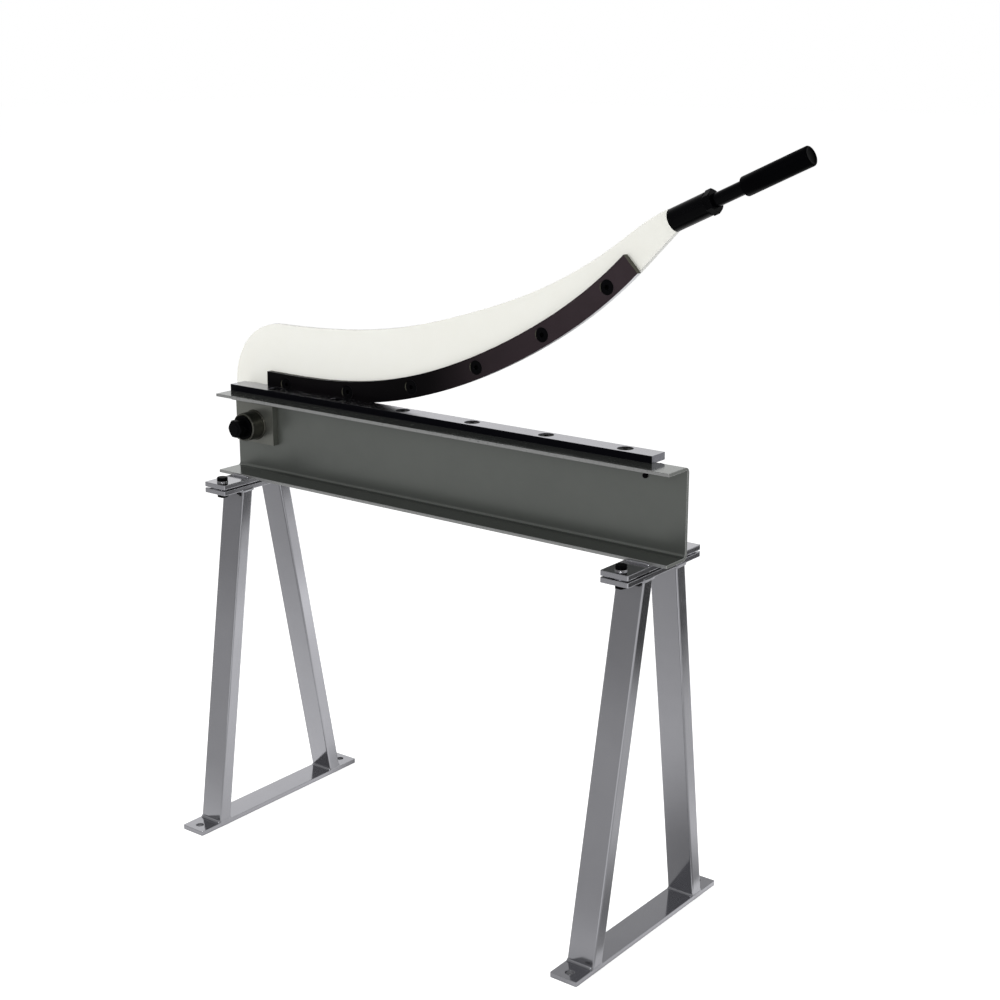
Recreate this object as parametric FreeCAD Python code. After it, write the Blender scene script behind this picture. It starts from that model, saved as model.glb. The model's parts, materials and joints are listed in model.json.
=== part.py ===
import FreeCAD, Part
import math
import os

# Hand guillotine shear on a stand, in millimetres.
# X runs along the beam from the pivot end to the handle end, Y away from the operator, Z up.
# The origin is on the floor, in the middle of the four floor bolt holes.

# Beam: a folded channel that opens towards the operator
beam_length = 960.0
beam_height = 146.0
beam_flange = 57.0
beam_wall = 5.0
beam_bend_inside = 5.0
beam_back_y = 19.0
table_height = 780.0

# Stand: two A frames of rectangular tube on flat bar
stand_inset_left = 55.0
stand_inset_right = 51.0
plate_length = 205.0
plate_width = 50.0
plate_thickness = 8.0
plate_bolt_spacing = 166.0
plate_spacer = 3.0
tube_width = 50.0
tube_depth = 25.0
tube_wall = 2.0
tube_corner = 3.0
leg_spread_top = 91.0
leg_spread_foot = 294.0
foot_length = 410.0
foot_width = 50.0
foot_thickness = 8.0
foot_inset = 12.0
foot_hole_spacing = 374.0
foot_hole = 14.0
bar_corner = 2.0

# Lower blade, screwed into two seat bars in the corner of the beam's top flange
lower_blade_width = 36.0
lower_blade_thickness = 12.0
lower_blade_overhang = 15.0
lower_blade_left_gap = 0.0
lower_blade_right_gap = 53.0
lower_screw_first = 97.0
lower_screw_last = 55.0
lower_screw_pitch = 150.0
seat_bar_near_depth = 15.0
seat_bar_near_height = 12.0
seat_bar_far_depth = 14.0
seat_bar_past_screw = 19.0
seat_bar_hub_gap = 2.0

# Upper blade, screwed on the near face of the arm, in distances and heights from the pivot.
# Distances along the arm are drawn for one beam length and stretch with the beam.
drawn_beam_length = 960.0
upper_blade_width = 37.0
upper_blade_thickness = 10.0
upper_screw_first = 47.0
upper_screw_last = 50.0
upper_screw_pitch = 149.0
blade_clearance = 0.3
blade_land = 3.0
upper_blade_top = [
    (4.0, 93.5),
    (103.0, 93.0),
    (184.0, 96.5),
    (299.0, 113.5),
    (432.0, 153.5),
    (569.0, 216.5),
    (697.0, 297.5),
    (770.0, 360.5),
]

# Arm: a flat plate with a round heel at the pivot and a slender neck at the handle
pivot_from_end = 54.5
pivot_below_table = 57.0
arm_thickness = 10.0
heel_radius = 78.0
shoulder_radius = 116.5
shoulder_centre = (30.5, 64.0)
belly_start = 200.0
belly_points_count = 15
back_top = [
    (178.5, 185.5),
    (301.0, 200.5),
    (460.0, 240.5),
    (626.0, 302.0),
    (752.0, 375.0),
]

# Pivot: a bolt that turns with the arm, in a bushed boss on the beam
pivot_bolt_radius = 10.0
pivot_head_flats = 30.0
pivot_head_height = 12.5
pivot_thin_nut = 9.0
pivot_bolt_overrun = 1.5
pivot_washer_radius = 18.5
thrust_washer_radius = 22.0
pivot_washer_thickness = 3.0
bush_wall = 4.0
boss_radius = 25.5
boss_length = 28.5
pad_width = 92.0
pad_below_pivot = 33.0
pad_thickness = 12.0
hub_radius = 30.0
running_clearance = 0.05
side_clearance = 0.3

# Stop: a bolt with a rubber ring under the tip of the arm
stop_from_end = 74.0
stop_below_table = 24.0
stop_ring_radius = 11.0
stop_ring_clearance = 0.6
stop_ring_length = 12.0
stop_spacer_radius = 7.0
stop_shank_radius = 4.0
stop_hex_flats = 13.0
stop_head_height = 5.5
stop_nut_height = 8.0
stop_overrun = 4.0

# Handle: socket, lock nut, rod and grip on one sloping line
handle_start = (847.5, 415.0)
handle_angle = 25.0
socket_radius = 18.0
socket_length = 67.0
socket_bore_depth = 32.0
tongue_width = 24.0
tongue_length = 24.0
rod_radius = 10.5
rod_visible = 52.0
handle_nut_flats = 34.0
handle_nut_height = 11.0
grip_radius = 15.0
grip_length = 113.0
grip_end_wall = 6.0

# Stand bolts with a 10 mm shank
stand_shank_radius = 5.0
stand_hole_radius = 5.5
stand_hex_flats = 17.0
stand_head_height = 6.5
stand_nut_height = 8.5
stand_washer_radius = 10.0
stand_washer_thickness = 2.0

# Screws, bolts and nuts with a 12 mm shank
shank_radius = 6.0
hole_radius = 6.5
screw_head_radius = 12.0
screw_sink = 1.0
socket_flats = 8.0
socket_depth = 5.0
hex_flats = 19.0
nut_height = 10.0
washer_radius = 12.0
washer_thickness = 2.5
thread_overrun = 2.0
edge_break = 1.0

# Places worked out from the sizes above
stand_spacing = beam_length - stand_inset_left - stand_inset_right
beam_left = -stand_spacing / 2 - stand_inset_left
beam_right = beam_left + beam_length
beam_near_y = beam_back_y - beam_flange
beam_bottom = table_height - beam_height
web_near_y = beam_back_y - beam_wall
upper_plate_bottom = beam_bottom - plate_thickness
lower_plate_top = upper_plate_bottom - plate_spacer
leg_top = lower_plate_top - plate_thickness
foot_spacing = stand_spacing - 2 * foot_inset
blade_back_y = beam_back_y + lower_blade_overhang
blade_left = beam_left + lower_blade_left_gap
blade_right = beam_right - lower_blade_right_gap
blade_top = table_height + lower_blade_thickness
upper_blade_near_y = blade_back_y + blade_clearance
arm_near_y = upper_blade_near_y + upper_blade_thickness
arm_far_y = arm_near_y + arm_thickness
pivot_x = beam_left + pivot_from_end
pivot_z = table_height - pivot_below_table
arm_stretch = beam_length / drawn_beam_length
stop_x = beam_right - stop_from_end
stop_z = table_height - stop_below_table

UP = FreeCAD.Vector(0, 0, 1)
DOWN = FreeCAD.Vector(0, 0, -1)
AWAY = FreeCAD.Vector(0, 1, 0)
NEAR = FreeCAD.Vector(0, -1, 0)


def save(name, shapes):
    solids = [solid for shape in shapes for solid in shape.Solids]
    whole = solids[0] if len(solids) == 1 else Part.makeCompound(solids)
    whole.exportStep("parts/" + name + ".step")


def turned(outline, start, direction):
    """A solid of revolution from (radius, distance) points along a direction."""
    points = [FreeCAD.Vector(radius, 0, along) for radius, along in outline]
    face = Part.Face(Part.makePolygon(points + [points[0]]))
    solid = face.revolve(FreeCAD.Vector(0, 0, 0), UP, 360)
    solid.Placement = FreeCAD.Placement(start, FreeCAD.Rotation(UP, direction))
    return solid


def ring(outer, inner, length, start, direction):
    outline = [(inner, 0), (outer, 0), (outer, length), (inner, length)]
    return turned(outline, start, direction)


def pin(radius, length, start, direction, chamfer=edge_break):
    outline = [(0, 0), (radius, 0), (radius, length - chamfer), (radius - chamfer, length), (0, length)]
    return turned(outline, start, direction)


def corner_radius(flats):
    return flats / 2 / math.cos(math.pi / 6)


def plain_hexagon(flats, length, start, direction):
    points = []
    for step in range(7):
        angle = step * math.pi / 3
        points.append(FreeCAD.Vector(math.cos(angle), math.sin(angle), 0) * corner_radius(flats))
    bar = Part.Face(Part.makePolygon(points)).extrude(UP * length)
    bar.Placement = FreeCAD.Placement(start, FreeCAD.Rotation(UP, direction))
    return bar


def hexagon(flats, length, start, direction):
    """A hexagon bar whose corners are turned off at 30 degrees at its far end."""
    corner = corner_radius(flats)
    drop = (corner - flats / 2) * math.tan(math.pi / 6)
    middle = FreeCAD.Vector(0, 0, 0)
    outline = [(0, 0), (corner, 0), (corner, length - drop), (flats / 2, length), (0, length)]
    bar = plain_hexagon(flats, length, middle, UP).common(turned(outline, middle, UP))
    bar.Placement = FreeCAD.Placement(start, FreeCAD.Rotation(UP, direction))
    return bar


def hex_nut(flats, length, bore, start, direction):
    return hexagon(flats, length, start, direction).cut(pin(bore, length, start, direction, 0))


def flange_nut(flats, length, flange_radius, flange, bore, start, direction):
    """A nut with the washer that it sits on in one piece."""
    nut = plain_hexagon(flats, length, start, direction).fuse(pin(flange_radius, flange, start, direction, 0))
    return nut.cut(pin(bore, length, start, direction, 0))


def hex_bolt(flats, head, radius, length, start, direction):
    """A bolt whose shank runs along the direction from the seat of its head."""
    back = direction * -1
    return hexagon(flats, head, start, back).fuse(pin(radius, length, start, direction)).removeSplitter()


def countersunk_screw(length, start, direction):
    """A screw whose head lies a little below the face at its start and whose end is a length from it."""
    head = start + direction * screw_sink
    cone = screw_head_radius - shank_radius
    end = length - screw_sink
    outline = [(0, 0), (screw_head_radius, 0), (shank_radius, cone), (shank_radius, end), (0, end)]
    return turned(outline, head, direction).cut(plain_hexagon(socket_flats, socket_depth, head, direction))


def countersunk_hole(depth, start, direction):
    """The space that a sunk screw needs in the blade it holds."""
    mouth = screw_head_radius + screw_sink
    cone = mouth - hole_radius
    outline = [(0, 0), (mouth, 0), (hole_radius, cone), (hole_radius, depth), (0, depth)]
    return turned(outline, start, direction)


def through_hole(radius, length, start, direction):
    return pin(radius, length, start, direction, 0)


def rounded_bar(length_x, length_y, height, corner, middle, base):
    """Flat bar with rounded upright edges, its underside at the base height."""
    bar = Part.makeBox(
        length_x,
        length_y,
        height,
        FreeCAD.Vector(middle.x - length_x / 2, middle.y - length_y / 2, base),
    )
    upright = [edge for edge in bar.Edges if abs(edge.tangentAt(edge.FirstParameter).z) > 0.9]
    return bar.makeFillet(corner, upright)


def lower_screw_places():
    first = blade_left + lower_screw_first
    count = int((blade_right - lower_screw_last - first) / lower_screw_pitch) + 1
    middle_y = blade_back_y - lower_blade_width / 2
    return [FreeCAD.Vector(first + lower_screw_pitch * step, middle_y, blade_top) for step in range(count)]


def tapped_holes():
    """Holes for the lower blade's screws through the flange, the web and both seat bars."""
    holes = []
    for place in lower_screw_places():
        top = FreeCAD.Vector(place.x, place.y, table_height)
        depth = beam_wall + seat_bar_near_height
        holes.append(through_hole(shank_radius + running_clearance, depth, top, DOWN))
    return holes


def beam_section():
    """The channel's section: web at the back, both flanges towards the operator."""
    inside = beam_bend_inside
    outside = beam_bend_inside + beam_wall
    slant = math.sqrt(0.5)

    def at(y, z):
        return FreeCAD.Vector(beam_left, y, z)

    def bend(centre_z, radius, side):
        return at(centre_y + radius * slant, centre_z + side * radius * slant)

    centre_y = beam_back_y - outside
    high = table_height - outside
    low = beam_bottom + outside
    edges = [
        Part.makeLine(at(beam_near_y, table_height), at(centre_y, table_height)),
        Part.Arc(
            at(centre_y, table_height), bend(high, outside, 1), at(beam_back_y, high)
        ).toShape(),
        Part.makeLine(at(beam_back_y, high), at(beam_back_y, low)),
        Part.Arc(
            at(beam_back_y, low), bend(low, outside, -1), at(centre_y, beam_bottom)
        ).toShape(),
        Part.makeLine(at(centre_y, beam_bottom), at(beam_near_y, beam_bottom)),
        Part.makeLine(at(beam_near_y, beam_bottom), at(beam_near_y, beam_bottom + beam_wall)),
        Part.makeLine(at(beam_near_y, beam_bottom + beam_wall), at(centre_y, beam_bottom + beam_wall)),
        Part.Arc(
            at(centre_y, beam_bottom + beam_wall), bend(low, inside, -1), at(web_near_y, low)
        ).toShape(),
        Part.makeLine(at(web_near_y, low), at(web_near_y, high)),
        Part.Arc(
            at(web_near_y, high), bend(high, inside, 1), at(centre_y, table_height - beam_wall)
        ).toShape(),
        Part.makeLine(at(centre_y, table_height - beam_wall), at(beam_near_y, table_height - beam_wall)),
        Part.makeLine(at(beam_near_y, table_height - beam_wall), at(beam_near_y, table_height)),
    ]
    return Part.Face(Part.Wire(edges))


def make_beam():
    beam = beam_section().extrude(FreeCAD.Vector(beam_length, 0, 0))
    for hole in tapped_holes():
        beam = beam.cut(hole)
    pivot = FreeCAD.Vector(pivot_x, beam_back_y, pivot_z)
    bush_hole = pivot_bolt_radius + bush_wall + running_clearance
    beam = beam.cut(through_hole(bush_hole, beam_wall, pivot, NEAR))
    stop = FreeCAD.Vector(stop_x, beam_back_y, stop_z)
    beam = beam.cut(through_hole(stop_shank_radius + running_clearance, beam_wall, stop, NEAR))
    save("beam_channel", [beam])


def make_lower_blade():
    blade = Part.makeBox(
        blade_right - blade_left,
        lower_blade_width,
        lower_blade_thickness,
        FreeCAD.Vector(blade_left, blade_back_y - lower_blade_width, table_height),
    )
    places = lower_screw_places()
    for place in places:
        blade = blade.cut(countersunk_hole(lower_blade_thickness, place, DOWN))
    save("lower_blade", [blade])
    length = lower_blade_thickness + beam_wall + seat_bar_near_height - edge_break
    save("lower_blade_screws", [countersunk_screw(length, place, DOWN) for place in places])


def make_seat_bars():
    """Bars on both sides of the web that carry the lower blade and its tapped holes."""
    length = lower_screw_places()[-1].x + seat_bar_past_screw - blade_left
    near_top = table_height - beam_wall
    near_bottom = near_top - seat_bar_near_height
    near_face = web_near_y - seat_bar_near_depth
    outline = [
        FreeCAD.Vector(blade_left, near_face, near_bottom),
        FreeCAD.Vector(blade_left, web_near_y, near_bottom),
        FreeCAD.Vector(blade_left, web_near_y, near_top - beam_bend_inside),
        FreeCAD.Vector(blade_left, web_near_y - beam_bend_inside, near_top),
        FreeCAD.Vector(blade_left, near_face, near_top),
        FreeCAD.Vector(blade_left, near_face, near_bottom),
    ]
    near = Part.Face(Part.makePolygon(outline)).extrude(FreeCAD.Vector(length, 0, 0))
    far_height = pivot_below_table - hub_radius - seat_bar_hub_gap
    far = Part.makeBox(
        length,
        seat_bar_far_depth,
        far_height,
        FreeCAD.Vector(blade_left, beam_back_y, table_height - far_height),
    )
    for hole in tapped_holes():
        near = near.cut(hole)
        far = far.cut(hole)
    save("seat_bar_near", [near])
    save("seat_bar_far", [far])


def make_pivot_seat():
    """Pad and boss on the web's near face, and the bush through all three."""
    bush_outside = pivot_bolt_radius + bush_wall
    bush_hole = bush_outside + running_clearance
    web_face = FreeCAD.Vector(pivot_x, web_near_y, pivot_z)
    pad_face = web_face + NEAR * pad_thickness
    pad_bottom = pivot_z - pad_below_pivot
    pad_top = table_height - beam_wall - seat_bar_near_height
    pad = Part.makeBox(
        pad_width,
        pad_thickness,
        pad_top - pad_bottom,
        FreeCAD.Vector(pivot_x - pad_width / 2, pad_face.y, pad_bottom),
    )
    save("pivot_pad", [pad.cut(through_hole(bush_hole, pad_thickness, web_face, NEAR))])
    boss = turned(
        [
            (bush_hole, 0),
            (boss_radius, 0),
            (boss_radius, boss_length - edge_break),
            (boss_radius - edge_break, boss_length),
            (bush_hole, boss_length),
        ],
        pad_face,
        NEAR,
    )
    save("pivot_boss", [boss])
    bush_start = FreeCAD.Vector(pivot_x, beam_back_y, pivot_z)
    bush_length = beam_wall + pad_thickness + boss_length
    bush = ring(bush_outside, pivot_bolt_radius + running_clearance, bush_length, bush_start, NEAR)
    save("pivot_bush", [bush])


def make_stop():
    """Nut on the web's far face, spacer, and a rubber ring level with the arm, on one bolt."""
    web_face = FreeCAD.Vector(stop_x, beam_back_y, stop_z)
    ring_start = FreeCAD.Vector(stop_x, arm_near_y + stop_ring_clearance, stop_z)
    head_seat = ring_start + AWAY * stop_ring_length
    bore = stop_shank_radius + running_clearance
    bolt_length = head_seat.y - web_near_y + stop_overrun
    save("stop_nut", [hex_nut(stop_hex_flats, stop_nut_height, bore, web_face, AWAY)])
    spacer_start = web_face + AWAY * stop_nut_height
    spacer_length = ring_start.y - spacer_start.y
    save("stop_spacer", [ring(stop_spacer_radius, bore, spacer_length, spacer_start, AWAY)])
    save("stop_ring", [ring(stop_ring_radius, bore, stop_ring_length, ring_start, AWAY)])
    bolt = hex_bolt(stop_hex_flats, stop_head_height, stop_shank_radius, bolt_length, head_seat, NEAR)
    save("stop_bolt", [bolt])


def leg_section(width, depth, corner, middle):
    """A level, rounded rectangle at a point, as an upright bar would show it."""
    bar = rounded_bar(width, depth, 1.0, corner, middle, middle.z)
    return [face for face in bar.Faces if face.CenterOfMass.z < middle.z + 0.1][0]


def make_leg(foot, top):
    """Rectangular tube from foot to top, cut level at both ends."""
    run = top - foot
    level_depth = tube_depth * run.Length / run.z
    level_wall = tube_wall * run.Length / run.z
    outer = leg_section(tube_width, level_depth, tube_corner, foot).extrude(run)
    inner_width = tube_width - 2 * tube_wall
    inner_depth = level_depth - 2 * level_wall
    inner = leg_section(inner_width, inner_depth, tube_corner - tube_wall, foot).extrude(run)
    return outer.cut(inner)


def make_stand(side, x_sign):
    """One A frame with its foot bar, its top plate and the beam's mounting plate."""
    top_x = x_sign * stand_spacing / 2
    foot_x = x_sign * foot_spacing / 2
    top_middle = FreeCAD.Vector(top_x, 0, 0)
    foot_middle = FreeCAD.Vector(foot_x, 0, 0)
    mounting = rounded_bar(
        plate_width, plate_length, plate_thickness, bar_corner, top_middle, upper_plate_bottom
    )
    top_plate = rounded_bar(plate_width, plate_length, plate_thickness, bar_corner, top_middle, leg_top)
    foot_bar = rounded_bar(foot_width, foot_length, foot_thickness, bar_corner, foot_middle, 0)
    for y_sign in (-1, 1):
        bolt_y = y_sign * plate_bolt_spacing / 2
        plate_hole = FreeCAD.Vector(top_x, bolt_y, leg_top)
        drill = through_hole(stand_hole_radius, beam_bottom - leg_top, plate_hole, UP)
        mounting = mounting.cut(drill)
        top_plate = top_plate.cut(drill)
        floor_hole = FreeCAD.Vector(foot_x, y_sign * foot_hole_spacing / 2, 0)
        foot_bar = foot_bar.cut(through_hole(foot_hole / 2, foot_thickness, floor_hole, UP))
    save(side + "_mounting_plate", [mounting])
    save(side + "_stand_top_plate", [top_plate])
    save(side + "_foot_bar", [foot_bar])
    for name, y_sign in (("front", -1), ("rear", 1)):
        foot = FreeCAD.Vector(foot_x, y_sign * leg_spread_foot / 2, foot_thickness)
        top = FreeCAD.Vector(top_x, y_sign * leg_spread_top / 2, leg_top)
        save(side + "_" + name + "_leg", [make_leg(foot, top)])


def make_stand_fasteners():
    """Bolts that join each mounting plate to its stand, with spacers between the plates."""
    bore = stand_shank_radius + running_clearance
    outer = stand_washer_radius
    washer = stand_washer_thickness
    grip = beam_bottom - leg_top
    length = washer + grip + stand_nut_height + thread_overrun
    bolts, head_washers, spacers, nuts = [], [], [], []
    for x_sign in (-1, 1):
        for y_sign in (-1, 1):
            top = FreeCAD.Vector(x_sign * stand_spacing / 2, y_sign * plate_bolt_spacing / 2, beam_bottom)
            between = FreeCAD.Vector(top.x, top.y, lower_plate_top)
            under = FreeCAD.Vector(top.x, top.y, leg_top)
            bolts.append(
                hex_bolt(
                    stand_hex_flats, stand_head_height, stand_shank_radius, length, top + UP * washer, DOWN
                )
            )
            head_washers.append(ring(outer, bore, washer, top, UP))
            spacers.append(ring(outer, bore, plate_spacer, between, UP))
            nuts.append(flange_nut(stand_hex_flats, stand_nut_height, outer, washer, bore, under, DOWN))
    save("stand_bolts", bolts)
    save("stand_bolt_washers", head_washers)
    save("stand_spacers", spacers)
    save("stand_nuts", nuts)


def in_arm_plane(distance, height, y=0.0):
    """A point from its distance along and above the pivot."""
    return FreeCAD.Vector(pivot_x + distance, y, pivot_z + height)


def stretched(points):
    """Drawn points of the arm or its blade, stretched to the beam's length."""
    return [in_arm_plane(distance * arm_stretch, height) for distance, height in points]


def smooth_curve(points):
    curve = Part.BSplineCurve()
    curve.interpolate(points)
    return curve


def inward_points(curve, distance, count=9):
    """Points at a fixed distance below a curve that runs along the arm."""
    points = []
    first, last = curve.FirstParameter, curve.LastParameter
    for step in range(count):
        parameter = first + (last - first) * step / (count - 1)
        along = curve.tangent(parameter)[0]
        below = FreeCAD.Vector(along.z, 0, -along.x)
        points.append(curve.value(parameter) + below * distance)
    return points


def upper_blade_curve():
    return smooth_curve(stretched(upper_blade_top))


def upper_screw_places(y):
    """Places along the middle line of the upper blade, one pitch apart."""
    middle = smooth_curve(inward_points(upper_blade_curve(), upper_blade_width / 2))
    places = []
    count = int((middle.length() - upper_screw_first - upper_screw_last) / upper_screw_pitch) + 1
    for step in range(count):
        distance = upper_screw_first + step * upper_screw_pitch
        point = middle.value(middle.parameterAtDistance(distance, middle.FirstParameter))
        places.append(FreeCAD.Vector(point.x, y, point.z))
    return places


def make_upper_blade():
    top = upper_blade_curve()
    edge = smooth_curve(inward_points(top, upper_blade_width))
    sides = [
        top.toShape(),
        Part.makeLine(top.EndPoint, edge.EndPoint),
        edge.toShape(),
        Part.makeLine(edge.StartPoint, top.StartPoint),
    ]
    outline = Part.Wire(Part.__sortEdges__(sides))
    blade = Part.Face(outline).extrude(AWAY * upper_blade_thickness)
    blade.translate(AWAY * upper_blade_near_y)
    places = upper_screw_places(upper_blade_near_y)
    for place in places:
        blade = blade.cut(countersunk_hole(upper_blade_thickness, place, AWAY))
    save("upper_blade", [blade])
    grip = upper_blade_thickness + arm_thickness
    length = grip + nut_height + thread_overrun
    bore = shank_radius + running_clearance
    nuts = []
    for place in places:
        seat = place + AWAY * grip
        nuts.append(flange_nut(hex_flats, nut_height, washer_radius, washer_thickness, bore, seat, AWAY))
    save("upper_blade_screws", [countersunk_screw(length, place, AWAY) for place in places])
    save("upper_blade_nuts", nuts)


def handle_point(along, across, y=0.0):
    """A point from its distance along the handle's axis and above it."""
    angle = math.radians(handle_angle)
    distance = handle_start[0] * arm_stretch + along * math.cos(angle) - across * math.sin(angle)
    height = handle_start[1] + along * math.sin(angle) + across * math.cos(angle)
    return in_arm_plane(distance, height, y)


def circle_point(centre, radius, angle):
    return in_arm_plane(centre[0] + radius * math.cos(angle), centre[1] + radius * math.sin(angle))


def belly_points():
    """The arm's lower edge: just above the cutting edge, from the belly to the blade's end."""
    points = inward_points(upper_blade_curve(), upper_blade_width - blade_land, belly_points_count)
    return [point for point in points if point.x > pivot_x + belly_start * arm_stretch]


def arm_outline():
    shoulder_x, shoulder_z = shoulder_centre
    centre_distance = math.hypot(shoulder_x, shoulder_z)
    centre_angle = math.atan2(shoulder_z, shoulder_x)
    tilt = math.acos((heel_radius - shoulder_radius) / centre_distance)
    rear_angle = centre_angle + tilt
    heel_rear = circle_point((0, 0), heel_radius, rear_angle)
    shoulder_rear = circle_point(shoulder_centre, shoulder_radius, rear_angle)
    shoulder_top = circle_point(shoulder_centre, shoulder_radius, math.pi / 2)
    shoulder_middle = circle_point(shoulder_centre, shoulder_radius, (rear_angle + math.pi / 2) / 2)

    belly = belly_points()
    start = belly[0] - in_arm_plane(0, 0)
    reach = math.acos(heel_radius / math.hypot(start.x, start.z))
    front_angle = math.atan2(start.z, start.x) - reach
    heel_front = circle_point((0, 0), heel_radius, front_angle)
    heel_low = circle_point((0, 0), heel_radius, (front_angle + rear_angle - 2 * math.pi) / 2)

    back = [shoulder_top] + stretched(back_top)
    back_curve = Part.BSplineCurve()
    neck_top = handle_point(0, socket_radius)
    neck_direction = handle_point(1, 0) - handle_point(0, 0)
    back_curve.interpolate(
        Points=back + [neck_top],
        InitialTangent=FreeCAD.Vector(1, 0, 0),
        FinalTangent=neck_direction,
    )
    neck_low = handle_point(0, -socket_radius)
    half_tongue = tongue_width / 2
    tongue = [
        neck_top,
        handle_point(0, half_tongue),
        handle_point(tongue_length, half_tongue),
        handle_point(tongue_length, -half_tongue),
        handle_point(0, -half_tongue),
        neck_low,
        belly[-1],
    ]
    edges = Part.makePolygon(tongue).Edges + [
        Part.makeLine(heel_rear, shoulder_rear),
        Part.Arc(shoulder_rear, shoulder_middle, shoulder_top).toShape(),
        back_curve.toShape(),
        smooth_curve(belly).toShape(),
        Part.makeLine(belly[0], heel_front),
        Part.Arc(heel_front, heel_low, heel_rear).toShape(),
    ]
    return Part.Wire(Part.__sortEdges__(edges))


def make_arm():
    plate = Part.Face(arm_outline()).extrude(AWAY * arm_thickness)
    plate.translate(AWAY * arm_near_y)
    pivot = in_arm_plane(0, 0, arm_near_y)
    plate = plate.cut(through_hole(pivot_bolt_radius + running_clearance, arm_thickness, pivot, AWAY))
    for place in upper_screw_places(arm_near_y):
        plate = plate.cut(through_hole(hole_radius, arm_thickness, place, AWAY))
    save("arm_plate", [plate])
    hub_length = arm_near_y - beam_back_y - side_clearance
    hub = ring(hub_radius, pivot_bolt_radius + running_clearance, hub_length, pivot, NEAR)
    save("arm_hub", [hub])


def make_pivot_bolt():
    """Bolt from behind the arm, held on the boss by a washer and two thin nuts."""
    bore = pivot_bolt_radius + running_clearance
    arm_back = in_arm_plane(0, 0, arm_far_y)
    head_seat = arm_back + AWAY * pivot_washer_thickness
    boss_face_y = web_near_y - pad_thickness - boss_length
    thrust_start = in_arm_plane(0, 0, boss_face_y - side_clearance)
    nut_start = thrust_start + NEAR * pivot_washer_thickness
    lock_start = nut_start + NEAR * pivot_thin_nut
    bolt_end_y = lock_start.y - pivot_thin_nut - pivot_bolt_overrun
    length = head_seat.y - bolt_end_y
    bolt = hex_bolt(pivot_head_flats, pivot_head_height, pivot_bolt_radius, length, head_seat, NEAR)
    thrust_washer = ring(thrust_washer_radius, bore, pivot_washer_thickness, thrust_start, NEAR)
    save("pivot_bolt", [bolt])
    save("pivot_head_washer", [ring(pivot_washer_radius, bore, pivot_washer_thickness, arm_back, AWAY)])
    save("pivot_thrust_washer", [thrust_washer])
    save("pivot_nut", [hex_nut(pivot_head_flats, pivot_thin_nut, bore, nut_start, NEAR)])
    save("pivot_lock_nut", [hex_nut(pivot_head_flats, pivot_thin_nut, bore, lock_start, NEAR)])


def make_handle():
    middle_y = arm_near_y + arm_thickness / 2
    start = handle_point(0, 0, middle_y)
    direction = handle_point(1, 0, middle_y) - start
    fit = rod_radius + running_clearance
    bore_start = socket_length - socket_bore_depth
    socket = turned(
        [
            (0, 0),
            (socket_radius - edge_break, 0),
            (socket_radius, edge_break),
            (socket_radius, socket_length - edge_break),
            (socket_radius - edge_break, socket_length),
            (fit, socket_length),
            (fit, bore_start),
            (0, bore_start),
        ],
        start,
        direction,
    )
    pocket = Part.Face(
        Part.makePolygon(
            [
                handle_point(0, tongue_width / 2, arm_near_y),
                handle_point(tongue_length, tongue_width / 2, arm_near_y),
                handle_point(tongue_length, -tongue_width / 2, arm_near_y),
                handle_point(0, -tongue_width / 2, arm_near_y),
                handle_point(0, tongue_width / 2, arm_near_y),
            ]
        )
    ).extrude(AWAY * arm_thickness)
    save("handle_socket", [socket.cut(pocket)])

    nut_start = start + direction * socket_length
    save("handle_lock_nut", [hex_nut(handle_nut_flats, handle_nut_height, fit, nut_start, direction)])

    rod_start = start + direction * bore_start
    grip_distance = socket_length + handle_nut_height + rod_visible
    rod_length = grip_distance + grip_length - grip_end_wall - bore_start
    save("handle_rod", [pin(rod_radius, rod_length, rod_start, direction)])

    grip_start = start + direction * grip_distance
    grip = turned(
        [
            (fit, 0),
            (grip_radius - edge_break, 0),
            (grip_radius, edge_break),
            (grip_radius, grip_length - 2 * edge_break),
            (grip_radius - 2 * edge_break, grip_length),
            (0, grip_length),
            (0, grip_length - grip_end_wall),
            (fit, grip_length - grip_end_wall),
        ],
        grip_start,
        direction,
    )
    save("handle_grip", [grip])


os.makedirs("parts", exist_ok=True)
make_beam()
make_lower_blade()
make_seat_bars()
make_pivot_seat()
make_stop()
make_stand("left", -1)
make_stand("right", 1)
make_stand_fasteners()
make_upper_blade()
make_arm()
make_pivot_bolt()
make_handle()
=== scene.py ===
import json
import math

import bmesh
import bpy
from mathutils import Matrix, Vector, noise


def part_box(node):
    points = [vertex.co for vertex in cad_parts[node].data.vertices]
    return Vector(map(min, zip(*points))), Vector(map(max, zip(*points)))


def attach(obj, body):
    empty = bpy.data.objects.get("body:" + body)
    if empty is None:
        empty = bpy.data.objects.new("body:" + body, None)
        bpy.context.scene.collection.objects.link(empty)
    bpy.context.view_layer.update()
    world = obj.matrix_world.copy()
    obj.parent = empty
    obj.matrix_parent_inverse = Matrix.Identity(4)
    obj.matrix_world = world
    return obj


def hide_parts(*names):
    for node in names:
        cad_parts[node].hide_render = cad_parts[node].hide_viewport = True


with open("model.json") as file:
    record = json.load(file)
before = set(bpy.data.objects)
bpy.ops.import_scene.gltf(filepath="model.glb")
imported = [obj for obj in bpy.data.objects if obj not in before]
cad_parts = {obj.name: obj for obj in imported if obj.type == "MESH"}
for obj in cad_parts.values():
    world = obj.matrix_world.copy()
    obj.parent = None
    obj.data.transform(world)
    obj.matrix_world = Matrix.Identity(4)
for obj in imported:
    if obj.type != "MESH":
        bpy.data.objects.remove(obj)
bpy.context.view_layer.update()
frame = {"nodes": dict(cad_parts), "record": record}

# Looks of a hand guillotine shear on a stand. Metres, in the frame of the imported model.

scene = bpy.context.scene

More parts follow.
